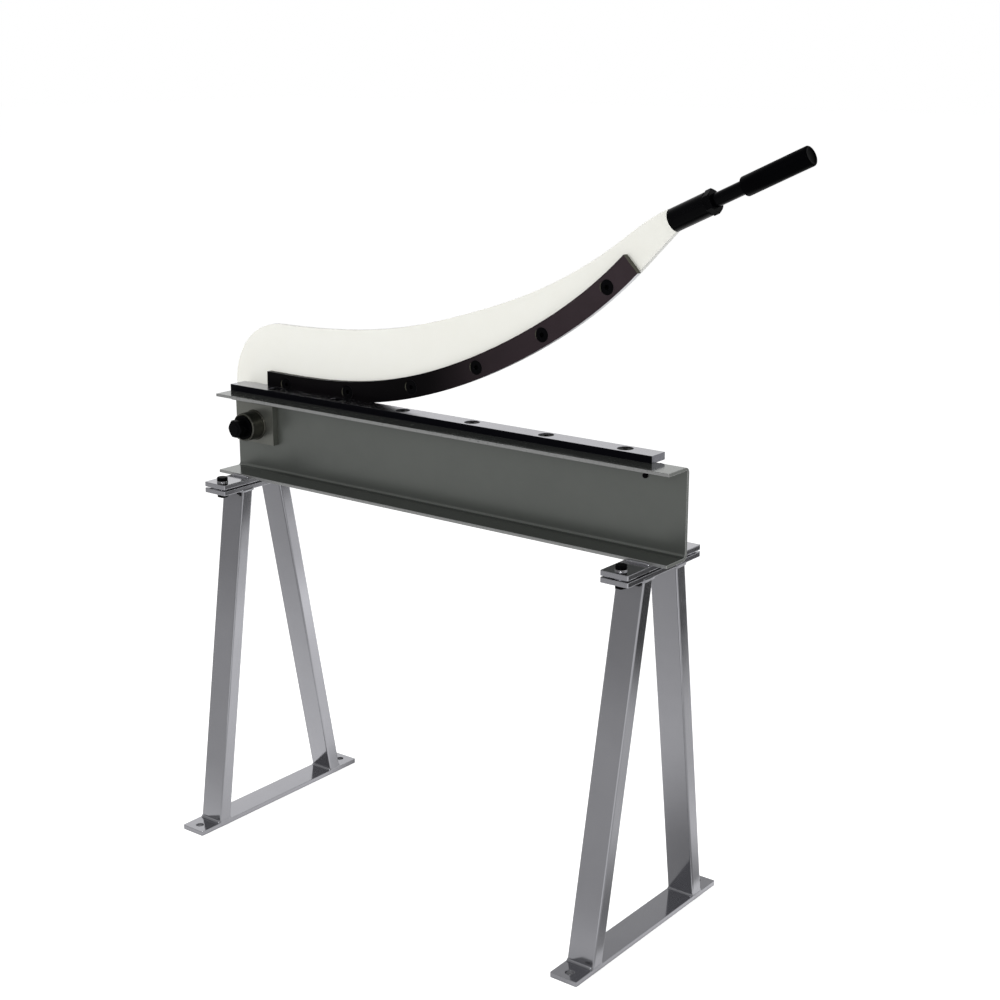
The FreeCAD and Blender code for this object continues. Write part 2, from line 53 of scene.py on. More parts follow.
# Leg length of the fillet welds
FOOT_WELD = 0.0042
TOP_WELD = 0.0030
PLATE_WELD = 0.0036
BOSS_WELD = 0.0024
HUB_WELD = 0.0034

# Spacing of a bead's ripples and of its rings, and the corners of a ring
WELD_PITCH = 0.0026
WELD_STEP = 0.0009
WELD_SIDES = 10

# Size of a bead between its ripples, with what a ripple and a slow drift add, as shares of its leg
BEAD_LOW = 0.86
BEAD_RIPPLE = 0.16
BEAD_DRIFT = 0.12
DRIFT_SCALE = 90.0
DRIFT_SEED_STEP = 3.7

# A direction that no weld runs along
SKEW = Vector((0.31, 0.17, 0.93))

# Round a leg: how far the bead is drawn in at the foot so that it ends flush with the bar, the
# radius of its corners, and the height of its middle line off the bar or plate
FLUSH_INSET = 0.0030
LEG_CORNER = 0.003
LEG_LIFT = 0.0003

# Under the beam: how far the beads stop short of the plate's ends, and the shift of each from the
# beam's edge along Y and from the plate's top along Z
PLATE_WELD_ENDS = 0.004
NEAR_SHIFT = (-0.0004, 0.0)
FAR_SHIFT = (-0.0045, 0.0016)

# How far the middle line of the hub's bead lies in front of the arm
HUB_LIFT = 0.0003

# Grip: how much shorter each half is than its node, the radius of its rim, pairs of depth below the
# inner end and distance in from the outside, and pairs of depth below the outer end and distance in
# from the rim, with the depth in the middle
GRIP_INSET = 0.0001
RIM_RADIUS = 0.0028
RIM_STEPS = 8
INNER_CHAMFER = ((0.0, 0.0016), (0.0004, 0.0005), (0.0014, 0.0))
DISH = ((0.0003, 0.0012), (0.0012, 0.0024), (0.0016, 0.0045))
DISH_DEPTH = 0.0017

# Where the black of the upper blade turns brown, along X
TEMPER_FROM = -0.06
TEMPER_TO = 0.17

# Worn edges: samples of their mask, and how near another surface keeps an edge from wear
EDGE_SAMPLES = 6
CREVICE_REACH = 0.004

# Painted highlight, with rubbed paint, along the beam's front edges: the depth of the front that is painted
# lighter, the fade behind it, and how much of it is painted lighter
RUBBED_HIGHLIGHT_DEPTH = 0.0004
RUBBED_HIGHLIGHT_FADE = 0.0006
RUBBED_HIGHLIGHT_SHARE = 0.75

# Noise scales of the paint, to a metre
SHADE_SCALE = 3.1
MOTTLE_SCALE = 38.0
SHEEN_SCALE = 17.0
CHIP_SCALE = 210.0
PEEL_SCALE = 620.0


# Materials

class Nodes:
    """A node tree that is cleared and then filled one node at a time."""

    def __init__(self, tree):
        self.tree = tree
        self.tree.nodes.clear()

    def set(self, socket, value):
        """Links a socket to another one, or gives it a plain value."""
        if isinstance(value, bpy.types.NodeSocket):
            self.tree.links.new(value, socket)
        else:
            socket.default_value = value

    def add(self, kind, inputs=None, output=0, **settings):
        """Adds a node with its settings and inputs, and returns one of its outputs."""
        node = self.tree.nodes.new(kind)
        for key, value in settings.items():
            setattr(node, key, value)
        for key, value in (inputs or {}).items():
            self.set(node.inputs[key], value)
        return node.outputs[output]

    def end(self, kind, surface):
        """Adds the output node."""
        self.set(self.tree.nodes.new(kind).inputs["Surface"], surface)

    def math(self, operation, first, second):
        return self.add("ShaderNodeMath", {0: first, 1: second}, operation=operation)

    def product(self, first, *others):
        result = first
        for other in others:
            result = self.math("MULTIPLY", result, other)
        return result

    def remainder(self, share):
        return self.math("SUBTRACT", 1.0, share)

    def part_of(self, vector, axis):
        """The X, Y or Z of a vector."""
        return self.add("ShaderNodeSeparateXYZ", {0: vector}, axis)

    def ranged(self, value, low, high, to_low=0.0, to_high=1.0, curve="LINEAR"):
        inputs = {"Value": value, "From Min": low, "From Max": high, "To Min": to_low, "To Max": to_high}
        return self.add("ShaderNodeMapRange", inputs, "Result", interpolation_type=curve)

    def ramps(self, vector, *steps):
        """A product of strengths. Each goes from first to last between two places on an axis."""
        strengths = []
        for axis, start, stop, first, last in steps:
            place = self.part_of(vector, axis)
            strengths.append(self.ranged(place, start, stop, first, last, "SMOOTHSTEP"))
        return self.product(*strengths)


class Look(Nodes):
    """A material with one principled shader."""

    def __init__(self, name):
        self.material = bpy.data.materials.new(name)
        self.material.use_nodes = True
        super().__init__(self.material.node_tree)
        self.place = self.add("ShaderNodeTexCoord", output="Object")
        self.normal = self.add("ShaderNodeNewGeometry", output="Normal")

    def noise(self, scale, detail=3.0):
        """Even noise, from 0 to 1."""
        inputs = {"Vector": self.place, "Scale": scale, "Detail": detail, "Roughness": 0.55}
        return self.add("ShaderNodeTexNoise", inputs, "Fac")

    def streaks(self, scales, detail, rough=0.7):
        """Noise with its own scale along X, Y and Z."""
        place = self.add("ShaderNodeMapping", {"Vector": self.place, "Scale": scales})
        inputs = {"Vector": place, "Scale": 1.0, "Detail": detail, "Roughness": rough}
        return self.add("ShaderNodeTexNoise", inputs, "Fac")

    def mix(self, factor, first, second):
        """A colour between two, each of them three numbers or a socket."""
        inputs = {0: factor}
        for index, colour in ((6, first), (7, second)):
            inputs[index] = colour if isinstance(colour, bpy.types.NodeSocket) else (*colour, 1.0)
        return self.add("ShaderNodeMix", inputs, 2, data_type="RGBA")

    def between(self, factor, first, second):
        """A number between two."""
        return self.add("ShaderNodeMix", {0: factor, 2: first, 3: second}, 0, data_type="FLOAT")

    def facing(self, axis):
        """How much the surface faces along X, Y or Z, from -1 to 1."""
        return self.part_of(self.normal, axis)

    def across(self, axis):
        """How much the surface faces along an axis either way, from 0 to 1."""
        return self.math("ABSOLUTE", self.facing(axis), 0.0)

    def edges(self, radius):
        """Rounded normal, and a mask that is 1 on sharp edges."""
        rounded = self.add("ShaderNodeBevel", {"Radius": radius}, samples=EDGE_SAMPLES)
        inputs = {0: rounded, 1: self.normal}
        likeness = self.add("ShaderNodeVectorMath", inputs, "Value", operation="DOT_PRODUCT")
        return rounded, self.ranged(likeness, 0.80, 0.985, 1.0, 0.0)

    def bump(self, height, strength, distance, normal):
        inputs = {"Height": height, "Strength": strength, "Distance": distance, "Normal": normal}
        return self.add("ShaderNodeBump", inputs)

    def finished(self, values):
        """The material, with numbers and sockets on its shader."""
        shader = self.tree.nodes.new("ShaderNodeBsdfPrincipled")
        for key, value in values.items():
            self.set(shader.inputs[key], value)
        self.end("ShaderNodeOutputMaterial", shader.outputs["BSDF"])
        return self.material


def paint(name, colour, dull, chipped, rough, metallic=0.0, coat=0.0, peel=0.05, wear=0.5,
          radius=0.0009, gloss=0.5, rubbed=0.48, rubbed_highlit_front=None, matt_upright=None):
    """Sprayed gloss paint: broad shade changes, orange peel, and worn outer edges. All that lies in front
    of a place along Y is painted lighter too, as rubbed paint and a painted highlight, and it can be
    rougher on its upright faces."""
    look = Look(name)
    rounded, edge = look.edges(radius)
    reach = {"Distance": CREVICE_REACH}
    open_space = look.add("ShaderNodeAmbientOcclusion", reach, "AO", samples=EDGE_SAMPLES)
    edge = look.product(edge, look.ranged(open_space, 0.72, 0.92))
    # The beam's front gets a painted highlight here, laid on as rubbed paint
    if rubbed_highlit_front is not None:
        depth = look.part_of(look.place, "Y")
        front = look.ranged(depth, rubbed_highlit_front, rubbed_highlit_front + RUBBED_HIGHLIGHT_FADE, 1.0, 0.0)
        edge = look.math("MAXIMUM", edge, look.product(front, RUBBED_HIGHLIGHT_SHARE))
    broad = look.product(look.noise(SHADE_SCALE), 0.7)
    fine = look.product(look.noise(MOTTLE_SCALE, 5.0), 0.3)
    body = look.mix(look.ranged(look.math("ADD", broad, fine), 0.35, 0.65), colour, dull)
    spots = look.ranged(look.noise(CHIP_SCALE, 4.0), rubbed, rubbed + 0.18, 0.0, wear)
    body = look.mix(look.product(edge, spots), body, chipped)
    sheen = look.ranged(look.noise(SHEEN_SCALE, 5.0), 0.3, 0.7, *rough)
    if matt_upright is not None:
        upright = look.ranged(look.across("Z"), 0.75, 0.95, matt_upright, 0.0)
        sheen = look.math("MAXIMUM", sheen, upright)
    normal = look.bump(look.noise(PEEL_SCALE, 2.0), peel, 0.0004, rounded)
    values = {
        "Base Color": body,
        "Roughness": sheen,
        "Metallic": metallic,
        "Normal": normal,
        "Specular IOR Level": gloss,
    }
    if coat:
        values["Coat Weight"] = coat
        values["Coat Roughness"] = rough[0] * 0.5
        values["Coat Normal"] = normal
    return look.finished(values)


def oxide(name, colour, worn, rough, wear=0.6, metallic=0.6, gloss=0.15):
    """Blackened or plated steel with fine scratches and brighter edges."""
    look = Look(name)
    rounded, edge = look.edges(0.0006)
    scratch = look.streaks((60.0, 420.0, 900.0), 6.0)
    cloud = look.noise(26.0, 4.0)
    body = look.mix(look.ranged(cloud, 0.35, 0.7), colour, tuple(c * 1.5 for c in colour))
    rub = look.ranged(look.noise(160.0), 0.42, 0.62, 0.0, wear)
    return look.finished({
        "Base Color": look.mix(look.product(edge, rub), body, worn),
        "Metallic": metallic,
        "Roughness": look.ranged(scratch, 0.3, 0.7, *rough),
        "Normal": look.bump(scratch, 0.08, 0.0003, rounded),
        "Specular IOR Level": gloss,
    })


def ground_steel():
    """The lower blade: ground on top, sawn at the ends, blackened on the sides."""
    look = Look("lower_blade_steel")
    rounded, edge = look.edges(0.0005)
    grain = look.streaks((14.0, 900.0, 900.0), 7.0, 0.75)
    cuts = look.streaks((300.0, 900.0, 120.0), 5.0)
    cloud = look.noise(7.0, 4.0)
    top = look.ranged(look.facing("Z"), 0.85, 0.95)
    end = look.ranged(look.across("X"), 0.55, 0.8)
    bare = look.math("MAXIMUM", top, end)
    bright = look.mix(look.ranged(grain, 0.3, 0.7), (0.30, 0.30, 0.33), (0.50, 0.50, 0.54))
    bright = look.mix(look.ranged(cloud, 0.4, 0.75, 0.0, 0.35), bright, (0.25, 0.24, 0.24))
    black = look.mix(cloud, (0.001, 0.001, 0.002), (0.003, 0.003, 0.004))
    sawn = look.mix(look.ranged(cuts, 0.3, 0.7), (0.15, 0.15, 0.17), (0.28, 0.28, 0.31))
    body = look.mix(top, look.mix(end, black, sawn), bright)
    return look.finished({
        "Base Color": look.mix(look.product(edge, 0.25), body, (0.35, 0.35, 0.36)),
        "Metallic": bare,
        "Roughness": look.between(bare, 0.42, look.ranged(grain, 0.3, 0.7, 0.16, 0.30)),
        "Normal": look.bump(grain, 0.10, 0.0002, rounded),
        "Specular IOR Level": 0.04,
    })


def curved_blade():
    """The arm's blade: satin black sides that turn brown, a sawn end and a ground cutting edge."""
    look = Look("upper_blade_steel")
    rounded, edge = look.edges(0.0005)
    grain = look.streaks((18.0, 500.0, 60.0), 6.0)
    clouds = look.ranged(look.noise(5.0, 5.0), 0.35, 0.65)
    black = look.mix(clouds, (0.0008, 0.0005, 0.0008), (0.002, 0.0015, 0.002))
    brown = look.mix(clouds, (0.025, 0.018, 0.021), (0.037, 0.027, 0.031))
    sides = look.mix(look.ramps(look.place, ("X", TEMPER_FROM, TEMPER_TO, 0.0, 1.0)), black, brown)
    end = look.ranged(look.facing("X"), 0.55, 0.80)
    body = look.mix(end, sides, look.mix(grain, (0.090, 0.090, 0.065), (0.150, 0.150, 0.115)))
    not_a_side = look.ranged(look.across("Y"), 0.2, 0.4, 1.0, 0.0)
    under = look.product(not_a_side, look.ranged(look.facing("Z"), -0.65, -0.45, 1.0, 0.0))
    body = look.mix(under, body, (0.42, 0.42, 0.44))
    return look.finished({
        "Base Color": look.mix(look.product(edge, 0.12), body, (0.16, 0.16, 0.16)),
        "Metallic": under,
        "Roughness": look.ranged(grain, 0.3, 0.7, 0.26, 0.38),
        "Normal": look.bump(grain, 0.05, 0.0003, rounded),
        "Specular IOR Level": 0.06,
    })


def rubber():
    """Dull black rubber, a little paler on its edges."""
    look = Look("stop_rubber")
    rounded, edge = look.edges(0.0008)
    grain = look.noise(900.0, 4.0)
    body = look.mix(grain, (0.014, 0.014, 0.014), (0.035, 0.034, 0.032))
    return look.finished({
        "Base Color": look.mix(look.product(edge, 0.3), body, (0.06, 0.06, 0.06)),
        "Roughness": look.ranged(grain, 0.3, 0.7, 0.6, 0.8),
        "Normal": look.bump(grain, 0.25, 0.0004, rounded),
    })


CREAM = paint(
    "cream_gloss", colour=(0.82, 0.82, 0.77), dull=(0.80, 0.795, 0.735), chipped=(0.55, 0.54, 0.48),
    rough=(0.30, 0.40), coat=0.35,
)
# Grey-green paint of the beam; its front lip gets a painted highlight as rubbed paint
GREY_GREEN = paint(
    "grey_green_gloss", colour=(0.190, 0.201, 0.188), dull=(0.176, 0.186, 0.175),
    chipped=(0.50, 0.50, 0.50), rough=(0.10, 0.15), metallic=0.85, peel=0.004, wear=0.9,
    radius=0.0016, rubbed=0.26, rubbed_highlit_front=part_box("beam_channel")[0].y + RUBBED_HIGHLIGHT_DEPTH,
    matt_upright=0.34,
)
PAD_GREEN = paint(
    "grey_green_pad", colour=(0.225, 0.230, 0.208), dull=(0.205, 0.208, 0.190),
    chipped=(0.40, 0.40, 0.38), rough=(0.30, 0.36), metallic=0.85, peel=0.004, wear=0.10,
    radius=0.0004, rubbed=0.36,
)
# A darker copy of the beam's grey-green paint for the boss and its bead: painted shade
SHADED_BOSS_GREEN = paint(
    "grey_green_boss_painted_shade", colour=(0.085, 0.085, 0.070), dull=(0.070, 0.070, 0.058),
    chipped=(0.50, 0.50, 0.48), rough=(0.30, 0.36), metallic=0.85, peel=0.004, wear=0.9,
    radius=0.0016, rubbed=0.26,
)
SILVER = paint(
    "silver_grey_metallic", colour=(0.40, 0.40, 0.425), dull=(0.37, 0.37, 0.395),
    chipped=(0.60, 0.60, 0.63), rough=(0.09, 0.14), metallic=0.96, peel=0.004, wear=0.5,
    radius=0.0016,
)
GLOSS_BLACK = paint(
    "black_gloss", colour=(0.001, 0.001, 0.0013), dull=(0.0014, 0.0014, 0.0018),
    chipped=(0.02, 0.02, 0.02), rough=(0.16, 0.24), peel=0.03, wear=0.3, gloss=0.05,
)
GRIP_BLACK = paint(
    "grip_black", colour=(0.001, 0.001, 0.0013), dull=(0.0014, 0.0014, 0.0018),
    chipped=(0.02, 0.02, 0.02), rough=(0.26, 0.34), peel=0.06, wear=0.2, gloss=0.01,
)
OXIDE = oxide(
    "black_oxide", colour=(0.0012, 0.0012, 0.0015), worn=(0.03, 0.03, 0.033), rough=(0.36, 0.50),
    metallic=0.0, gloss=0.03,
)
ZINC = oxide(
    "zinc_plate", colour=(0.55, 0.55, 0.56), worn=(0.75, 0.75, 0.76), rough=(0.22, 0.34),
    wear=0.4, metallic=1.0,
)
BRONZE = oxide(
    "bronze_bush", colour=(0.50, 0.34, 0.16), worn=(0.66, 0.50, 0.28), rough=(0.25, 0.40),
    wear=0.4, metallic=1.0,
)

SLOT_LOOKS = {
    "arm_paint": CREAM,
    "beam_paint": GREY_GREEN,
    "stand_paint": SILVER,
    "blade_steel": ground_steel(),
    "black_steel": curved_blade(),
    "black_fastener": OXIDE,
    "zinc_washer": ZINC,
    "handle_paint": GLOSS_BLACK,
    "grip": GRIP_BLACK,
    "rubber": rubber(),
    "bronze": BRONZE,
}
OWN_LOOKS = {"pivot_pad": PAD_GREEN, "pivot_boss": SHADED_BOSS_GREEN}

for part in frame["record"]["subparts"]:
    look = OWN_LOOKS.get(part["node"], SLOT_LOOKS[part["material_slot"]])
    for held in frame["nodes"][part["node"]].material_slots:
        held.material = look


# Welds

def smooth_piece(name, mesh, look):
    """A smooth-shaded object from a mesh that is complete."""
    bmesh.ops.recalc_face_normals(mesh, faces=mesh.faces)
    data = bpy.data.meshes.new(name)
    mesh.to_mesh(data)
    mesh.free()
    for face in data.polygons:
        face.use_smooth = True
    data.materials.append(look)
    piece = bpy.data.objects.new(name, data)
    scene.collection.objects.link(piece)
    return piece


def full_turn(count):
    """Evenly spaced angles round a circle."""
    return [step * 2 * math.pi / count for step in range(count)]


def rounded_path(low, high, corner, height, steps=5):
    """A level rounded rectangle as a closed list of points."""
    points = []
    turns = ((high.x, high.y, 0), (low.x, high.y, 1), (low.x, low.y, 2), (high.x, low.y, 3))
    for x, y, quarter in turns:
        centre_x = x - corner if x == high.x else x + corner
        centre_y = y - corner if y == high.y else y + corner
        for step in range(steps + 1):
            angle = (quarter + step / steps) * math.pi / 2
            place = (centre_x + corner * math.cos(angle), centre_y + corner * math.sin(angle), height)
            points.append(Vector(place))
    return points


def circle_path(centre, radius, count=48):
    """A circle in an upright plane that faces the operator."""
    return [centre + Vector((math.cos(t), 0.0, math.sin(t))) * radius for t in full_turn(count)]


def evenly(points, closed, step):
    """Points at an even spacing along a path."""
    path = points + [points[0]] if closed else points
    lengths = [(b - a).length for a, b in zip(path, path[1:])]
    count = max(3, round(sum(lengths) / step))
    spaced = []
    index, passed = 0, 0.0
    for number in range(count if closed else count + 1):
        target = sum(lengths) * number / count
        while index < len(lengths) - 1 and passed + lengths[index] < target:
            passed += lengths[index]
            index += 1
        share = (target - passed) / lengths[index] if lengths[index] else 0.0
        spaced.append(path[index].lerp(path[index + 1], share))
    return spaced


def bead_radius(size, travelled, seed):
    """Radius of a rippled bead at a distance along it."""
    ripple = math.sin((travelled % WELD_PITCH) / WELD_PITCH * math.pi)
    drift = noise.noise(Vector((travelled * DRIFT_SCALE, seed * DRIFT_SEED_STEP, 0.0)))
    return size * (BEAD_LOW + BEAD_RIPPLE * ripple + BEAD_DRIFT * drift)


def weld(name, points, closed, size, body, look, seed=0):
    """A rippled bead along a corner. Most of its round section lies inside the two pieces it joins,
    and an open bead grows thin towards its ends."""
    line = evenly(points, closed, WELD_STEP)
    count = len(line)
    mesh = bmesh.new()
    rings = []
    for index, point in enumerate(line):
        ahead = line[(index + 1) % count] if closed or index < count - 1 else point
        behind = line[index - 1] if closed or index else point
        along = (ahead - behind).normalized()
        side = along.cross(SKEW).normalized()
        up = side.cross(along)
        radius = bead_radius(size, index * WELD_STEP, seed)
        if not closed:
            ends = min(index, count - 1 - index) * WELD_STEP / (2.0 * size)
            radius *= math.sqrt(min(1.0, 0.15 + ends))
        around = [point + (side * math.cos(t) + up * math.sin(t)) * radius for t in full_turn(WELD_SIDES)]
        rings.append([mesh.verts.new(place) for place in around])
    for index in range(count if closed else count - 1):
        first, second = rings[index], rings[(index + 1) % count]
        for turn in range(WELD_SIDES):
            after = (turn + 1) % WELD_SIDES
            mesh.faces.new((first[turn], first[after], second[after], second[turn]))
    if not closed:
        mesh.faces.new(rings[0][::-1])
        mesh.faces.new(rings[-1])
    piece = smooth_piece(name, mesh, look)
    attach(piece, body)


def level_outline(node, height):
    """Lowest and highest corner of what a node has at one height."""
    near = [v.co for v in frame["nodes"][node].data.vertices if abs(v.co.z - height) < 0.0002]
    low = Vector((min(p.x for p in near), min(p.y for p in near), height))
    high = Vector((max(p.x for p in near), max(p.y for p in near), height))
    return low, high


def leg_welds(node, seed):
    """Beads round the foot and the top of a leg."""
    low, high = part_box(node)
    for end, height, inward, size in (("foot", low.z, 1, FOOT_WELD), ("top", high.z, -1, TOP_WELD)):
        under, over = level_outline(node, height)
        if end == "foot":
            under.x += FLUSH_INSET
            over.x -= FLUSH_INSET
        path = rounded_path(under, over, LEG_CORNER, height + inward * LEG_LIFT)
        name = node + "_" + end + "_weld"
        weld(name, path, True, size, "frame", SILVER, seed=seed + inward)


def plate_welds(side, seed):
    """Beads along the near and the far edge of the beam on a mounting plate."""
    beam_low, beam_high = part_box("beam_channel")
    plate_low, plate_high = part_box(side + "_mounting_plate")
    for run, edge, (away, lift) in (("near", beam_low.y, NEAR_SHIFT), ("far", beam_high.y, FAR_SHIFT)):
        start = Vector((plate_low.x + PLATE_WELD_ENDS, edge + away, plate_high.z + lift))
        stop = Vector((plate_high.x - PLATE_WELD_ENDS, edge + away, plate_high.z + lift))
        name = side + "_plate_" + run + "_weld"
        weld(name, [start, stop], False, PLATE_WELD, "frame", SILVER, seed=seed)


def ring_path(node, depth):
    """A circle round a boss or hub that faces the operator, at a place along Y."""
    low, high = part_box(node)
    middle = (low + high) / 2
    return circle_path(Vector((middle.x, depth, middle.z)), (high.x - low.x) / 2)


for number, side in enumerate(("left", "right")):
    for rank, place in enumerate(("front", "rear")):
        leg_welds(side + "_" + place + "_leg", seed=number * 4 + rank * 2)
for number, side in enumerate(("left", "right")):
    plate_welds(side, seed=20 + number)
boss_ring = ring_path("pivot_boss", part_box("pivot_pad")[0].y)
# The boss's bead takes the darker copy of the paint too, painted shade
weld("boss_weld", boss_ring, True, BOSS_WELD, "frame", SHADED_BOSS_GREEN, seed=31)
hub_ring = ring_path("arm_hub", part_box("arm_hub")[1].y - HUB_LIFT)
weld("hub_weld", hub_ring, True, HUB_WELD, "arm", CREAM, seed=37)


# Grip, turned about the axis of its node, with a round rim and a dished end

def axis_of(node):
    """Middle, direction, half length and radius of a round bar."""
    points = [vertex.co.copy() for vertex in frame["nodes"][node].data.vertices]
    middle = sum(points, Vector()) / len(points)
    along = Vector((1.0, 0.0, 1.0))
    for _ in range(40):
        along = sum(((p - middle) * (p - middle).dot(along) for p in points), Vector()).normalized()
    reach = [(p - middle).dot(along) for p in points]
    radius = max((p - middle - along * r).length for p, r in zip(points, reach))
    middle = middle + along * (max(reach) + min(reach)) / 2
    return middle, along, (max(reach) - min(reach)) / 2, radius


def grip_profile(half, radius):
    """Pairs of a place along the axis and a radius; the first and last are on the axis."""
    pairs = [(-half, 0.0)]
    pairs += [(-half + depth, radius - inset) for depth, inset in INNER_CHAMFER]
    pairs.append((0.0, radius))
    for step in range(RIM_STEPS + 1):
        angle = step / RIM_STEPS * math.pi / 2
        place = half - RIM_RADIUS + RIM_RADIUS * math.sin(angle)
        pairs.append((place, radius - RIM_RADIUS + RIM_RADIUS * math.cos(angle)))
    pairs += [(half - depth, radius - RIM_RADIUS - inset) for depth, inset in DISH]
    pairs.append((half - DISH_DEPTH, 0.0))
    return pairs


def turned_piece(name, middle, along, profile, look, count=72):
    """A round piece from a profile of places along its axis and radii."""
    side = along.cross(Vector((0.0, 1.0, 0.0))).normalized()
    up = along.cross(side)
    mesh = bmesh.new()
    first = mesh.verts.new(middle + along * profile[0][0])
    last = mesh.verts.new(middle + along * profile[-1][0])
    rings = []
    for place, size in profile[1:-1]:
        centre = middle + along * place
        around = [centre + (side * math.cos(t) + up * math.sin(t)) * size for t in full_turn(count)]
        rings.append([mesh.verts.new(point) for point in around])
    for step in range(count):
        after = (step + 1) % count
        mesh.faces.new((first, rings[0][after], rings[0][step]))
        mesh.faces.new((last, rings[-1][step], rings[-1][after]))
        for near, far in zip(rings, rings[1:]):
            mesh.faces.new((near[step], near[after], far[after], far[step]))
    return smooth_piece(name, mesh, look)


grip_middle, grip_along, grip_half, grip_radius = axis_of("handle_grip")
profile = grip_profile(grip_half - GRIP_INSET, grip_radius)
grip = turned_piece("grip_turned", grip_middle, grip_along, profile, GRIP_BLACK)
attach(grip, "arm")
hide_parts("handle_grip")


# Camera, where the photograph was taken from: its place, its turn as an axis times an angle, and its
# lens and sensor in millimetres

CAMERA_PLACE = Vector((1.74834, -2.08393, 1.39318))
CAMERA_TURN = Vector((1.7617676045, 0.6015752029, -0.4605360298))
CAMERA_LENS = 60.73
CAMERA_SENSOR = 36.0

# The turn's rows point right, down and ahead, and Blender's camera looks along its own -Z
turned = Matrix.Rotation(CAMERA_TURN.length, 3, CAMERA_TURN.normalized())
axes = Matrix((turned[0], -turned[1], -turned[2])).transposed()
camera = bpy.data.objects.new("camera", bpy.data.cameras.new("camera"))
camera.data.lens = CAMERA_LENS
camera.data.sensor_width = CAMERA_SENSOR
camera.data.clip_start = 0.05
camera.data.clip_end = 60.0
camera.matrix_world = Matrix.Translation(CAMERA_PLACE) @ axes.to_4x4()
scene.collection.objects.link(camera)
scene.camera = camera


# Room and floor. Strengths change along an axis, from one place and value to the next: axis, start,
# stop, first value, last value. Those of the room go by direction, those of the floor by place.

WORLD_LIGHT = 0.28

# What glossy surfaces see of the room: white walls that are dimmer on the operator's side, a dimmer
# ceiling, and a screen high at the rear that ends at the left
DIM_SIDE = (("Y", -0.45, 0.45, 1.0, 0.0), ("Z", 0.60, 0.90, 0.70, 0.0))
CEILING = ("Z", 0.40, 0.80, 1.0, 0.6)
SCREEN = (("X", -0.62, -0.50, 0.0, 0.48), ("Y", 0.20, 0.50, 0.0, 1.0), ("Z", 0.32, 0.42, 0.0, 1.0))

FLOOR_SIZE = 30.0
FLOOR_COLOUR = 0.80
FLOOR_GLOW = 0.78

# What glossy surfaces see of the floor: a glow that grows towards the rear, the share of it that is
# lost in the shadows at the left rear and the right rear, and what multiplies it to the right, far in
# front and at the rear
MIRRORED_GLOW = ("Y", -0.7, 0.4, 0.54, 1.1)
SHADOW_SHARE = 0.93
LEFT_SHADOW = (("X", -0.45, -0.25, SHADOW_SHARE, 0.0), ("Y", 0.10, 0.25, 0.0, 1.0))
RIGHT_SHADOW_EDGE = ("X", 0.40, 0.47, 0.0, SHADOW_SHARE)
RIGHT_SHADOW_SLANT = 0.4636
RIGHT_SHADOW = (("Y", 0.6, 1.1, 0.0, 1.0), ("X", 1.5, 2.0, 1.0, 0.2))
GLOW_CHANGES = (("X", 0.45, 0.8, 1.0, 0.66), ("Y", -6.0, -2.0, 0.65, 1.0), ("Y", 0.5, 1.1, 1.0, 1.3))

# Two darker patches of it on either side of the right foot, where they rise and fall along X
PATCH_SHADE = 0.66
PATCHES = ((0.05, 0.38, 0.415, 0.435), (0.46, 0.48, 0.52, 0.72))
PATCH_SIDES = (("Y", -0.35, 0.05, 0.0, 1.0), ("Y", 0.15, 0.40, 1.0, 0.0))

# Glow that is added at the near right
NEAR_RIGHT = (("X", 0.35, 0.6, 0.0, 0.6), ("Y", -0.45, -0.25, 1.0, 0.0))

# How near a surface keeps the floor from glowing, and the samples that find it
CONTACT_REACH = 0.012
CONTACT_SAMPLES = 8


class Surroundings(Nodes):
    """A world or a floor that looks different to different rays."""

    def ray_kind(self, *kinds):
        """1 for rays of any of the kinds."""
        path = self.tree.nodes.new("ShaderNodeLightPath")
        seen = path.outputs[kinds[0]]
        for kind in kinds[1:]:
            seen = self.math("MAXIMUM", seen, path.outputs[kind])
        return seen

    def picked(self, choice, first, second):
        """The first shader where the choice is 0, the second where it is 1."""
        return self.add("ShaderNodeMixShader", {0: choice, 1: first, 2: second})

    def by_ray(self, plain, mirrored, shown):
        """One shader for light, one for glossy surfaces and one for the camera."""
        in_gloss = self.ray_kind("Is Glossy Ray", "Is Transmission Ray")
        unseen = self.picked(in_gloss, plain, mirrored)
        return self.picked(self.ray_kind("Is Camera Ray"), unseen, shown)

    def background(self, strength):
        return self.add("ShaderNodeBackground", {"Color": (1.0, 1.0, 1.0, 1.0), "Strength": strength})

    def glowing_paper(self, colour, glow):
        """Matt paper with a glow of its own."""
        paper = self.add("ShaderNodeBsdfDiffuse", {"Color": (colour, colour, colour, 1.0)})
        shine = self.add("ShaderNodeEmission", {"Strength": glow})
        return self.add("ShaderNodeAddShader", {0: paper, 1: shine})


def studio():
    """The world: even light, a room for glossy surfaces, and white for the camera."""
    world = bpy.data.worlds.new("studio")
    scene.world = world
    world.use_nodes = True
    room = Surroundings(world.node_tree)
    direction = room.add("ShaderNodeTexCoord", output="Generated")
    walls = room.product(
        room.remainder(room.ramps(direction, *DIM_SIDE)),
        room.ramps(direction, CEILING),
        room.remainder(room.ramps(direction, *SCREEN)),
    )
    plain, mirrored, shown = [room.background(strength) for strength in (WORLD_LIGHT, walls, 1.0)]
    room.end("ShaderNodeOutputWorld", room.by_ray(plain, mirrored, shown))


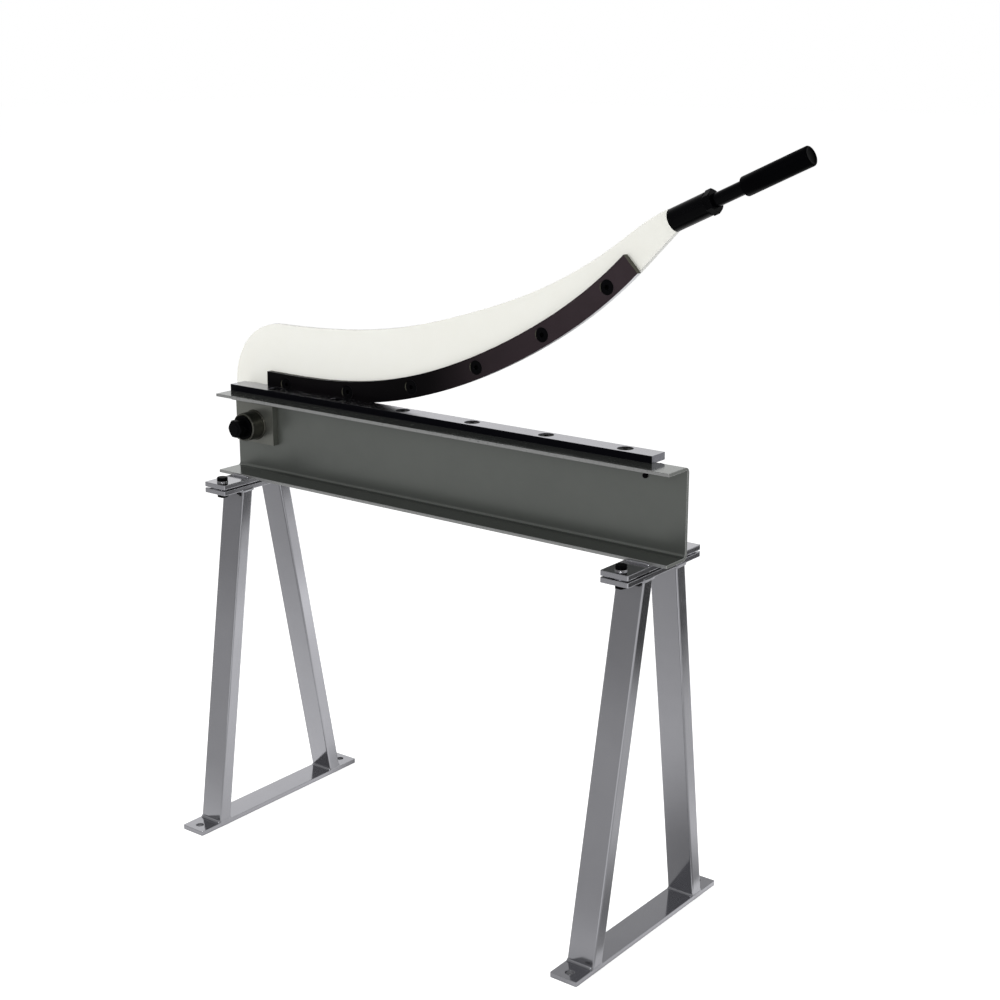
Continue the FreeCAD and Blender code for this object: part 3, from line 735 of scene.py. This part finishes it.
def mirrored_glow(paper, ground):
    """How strongly the floor glows in glossy surfaces."""
    slanted = paper.add("ShaderNodeMapping", {"Vector": ground, "Rotation": (0.0, 0.0, RIGHT_SHADOW_SLANT)})
    right_shadow = paper.product(
        paper.ramps(slanted, RIGHT_SHADOW_EDGE),
        paper.ramps(ground, *RIGHT_SHADOW),
    )
    shaded = paper.ramps(ground, *GLOW_CHANGES)
    for rise_from, rise_to, fall_from, fall_to in PATCHES:
        rise = ("X", rise_from, rise_to, 0.0, PATCH_SHADE)
        fall = ("X", fall_from, fall_to, 1.0, 0.0)
        shaded = paper.product(shaded, paper.remainder(paper.ramps(ground, rise, fall, *PATCH_SIDES)))
    glow = paper.product(
        paper.ramps(ground, MIRRORED_GLOW),
        paper.remainder(paper.ramps(ground, *LEFT_SHADOW)),
        paper.remainder(right_shadow),
        shaded,
    )
    return paper.math("ADD", glow, paper.ramps(ground, *NEAR_RIGHT))


def floor_paper():
    """White paper that glows, but not close to the feet and in their holes."""
    look = bpy.data.materials.new("floor_white")
    look.use_nodes = True
    paper = Surroundings(look.node_tree)
    ground = paper.add("ShaderNodeTexCoord", output="Object")
    reach = {"Distance": CONTACT_REACH}
    closeness = paper.add("ShaderNodeAmbientOcclusion", reach, "AO", samples=CONTACT_SAMPLES)
    open_share = paper.ranged(closeness, 0.25, 0.60)
    surface = paper.by_ray(
        paper.glowing_paper(FLOOR_COLOUR, 0.0),
        paper.glowing_paper(0.0, paper.product(mirrored_glow(paper, ground), open_share)),
        paper.glowing_paper(FLOOR_COLOUR, paper.product(open_share, FLOOR_GLOW)),
    )
    paper.end("ShaderNodeOutputMaterial", surface)
    return look


studio()
floor_mesh = bmesh.new()
bmesh.ops.create_grid(floor_mesh, x_segments=4, y_segments=4, size=FLOOR_SIZE)
floor_data = bpy.data.meshes.new("floor")
floor_mesh.to_mesh(floor_data)
floor_mesh.free()
floor_data.materials.append(floor_paper())
floor = bpy.data.objects.new("floor", floor_data)
scene.collection.objects.link(floor)


# Lamps

def softbox(name, place, target, size, power, mirrored):
    """An area lamp. Where it isn't mirrored, glossy surfaces show only the studio behind it."""
    data = bpy.data.lights.new(name, "AREA")
    data.shape = "RECTANGLE"
    data.size, data.size_y = size
    data.energy = power
    lamp = bpy.data.objects.new(name, data)
    lamp.location = place
    lamp.visible_glossy = mirrored
    lamp.rotation_euler = (Vector(target) - Vector(place)).to_track_quat("-Z", "Y").to_euler()
    scene.collection.objects.link(lamp)


softbox("key", place=(1.5, -2.6, 1.86), target=(0.0, 0.0, 0.75), size=(0.5, 0.4), power=15, mirrored=True)
softbox(
    "front_left", place=(-1.3, -3.0, 1.9), target=(0.0, 0.0, 0.7), size=(1.6, 1.8), power=78,
    mirrored=False,
)
softbox("top", place=(0.2, 0.2, 3.4), target=(0.0, 0.0, 0.6), size=(2.4, 1.8), power=18, mirrored=False)
softbox("right", place=(3.0, 1.6, 1.8), target=(0.0, 0.0, 0.6), size=(1.6, 2.0), power=20, mirrored=False)

scene.view_settings.view_transform = "Standard"
